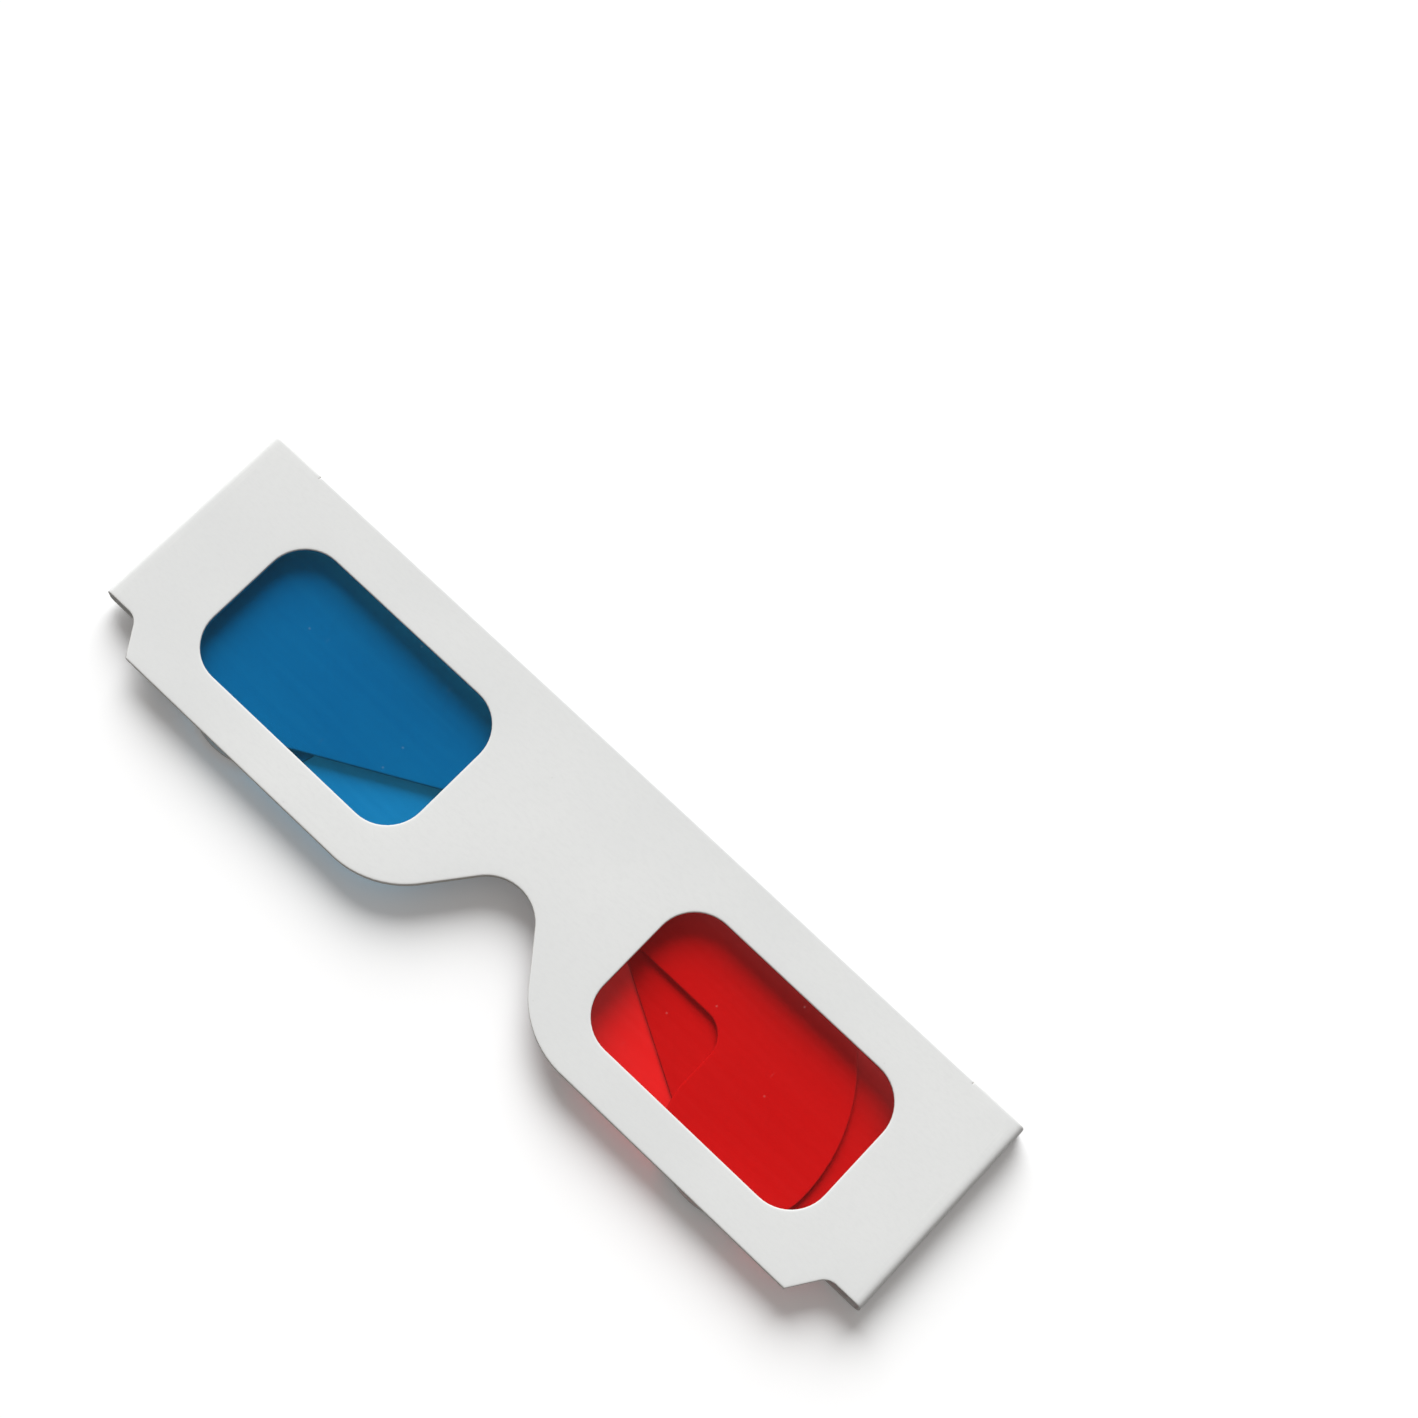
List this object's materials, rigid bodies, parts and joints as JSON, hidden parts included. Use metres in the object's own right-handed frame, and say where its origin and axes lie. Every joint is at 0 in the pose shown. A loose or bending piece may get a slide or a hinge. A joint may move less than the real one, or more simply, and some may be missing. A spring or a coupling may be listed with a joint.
{
  "type": "paper 3d glasses",
  "caption": "Folded card 3D glasses with blue and red film windows, a nose notch, and temples with ear hooks that fold flat behind the front on creases.",
  "frame": {"origin": "centre of the pair's footprint, on the surface that the folded pair lies on", "axes": "+X along the front from the blue film to the red film, +Y towards the upper edge, +Z out of the front's outer face"},
  "size_m": [0.138, 0.0364, 0.0044],
  "materials": {
    "card": "smooth white card, faintly fibrous, matt",
    "blue_film": "clear dyed film, glossy",
    "red_film": "clear dyed film, glossy",
    "adhesive": "dried white glue"
  },
  "bodies": {
    "front": {"front_ply": "card", "back_ply": "card", "top_fold": "card", "adhesive": "adhesive", "blue_film": "blue_film", "red_film": "red_film", "left_crease": "card", "right_crease": "card"},
    "left_temple": {"left_temple": "card"},
    "right_temple": {"right_temple": "card"}
  },
  "joints": [
    {"name": "left_temple_fold", "type": "hinge", "parent": "front", "child": "left_temple", "pos_m": [-0.06739, 0, 0.00281], "axis": [0, 1, 0], "range_deg": [0, 180], "deforming": ["left_crease"]},
    {"name": "right_temple_fold", "type": "hinge", "parent": "front", "child": "right_temple", "pos_m": [0.06679, 0, 0.00221], "axis": [0, -1, 0], "range_deg": [0, 180], "deforming": ["right_crease"]}
  ]
}
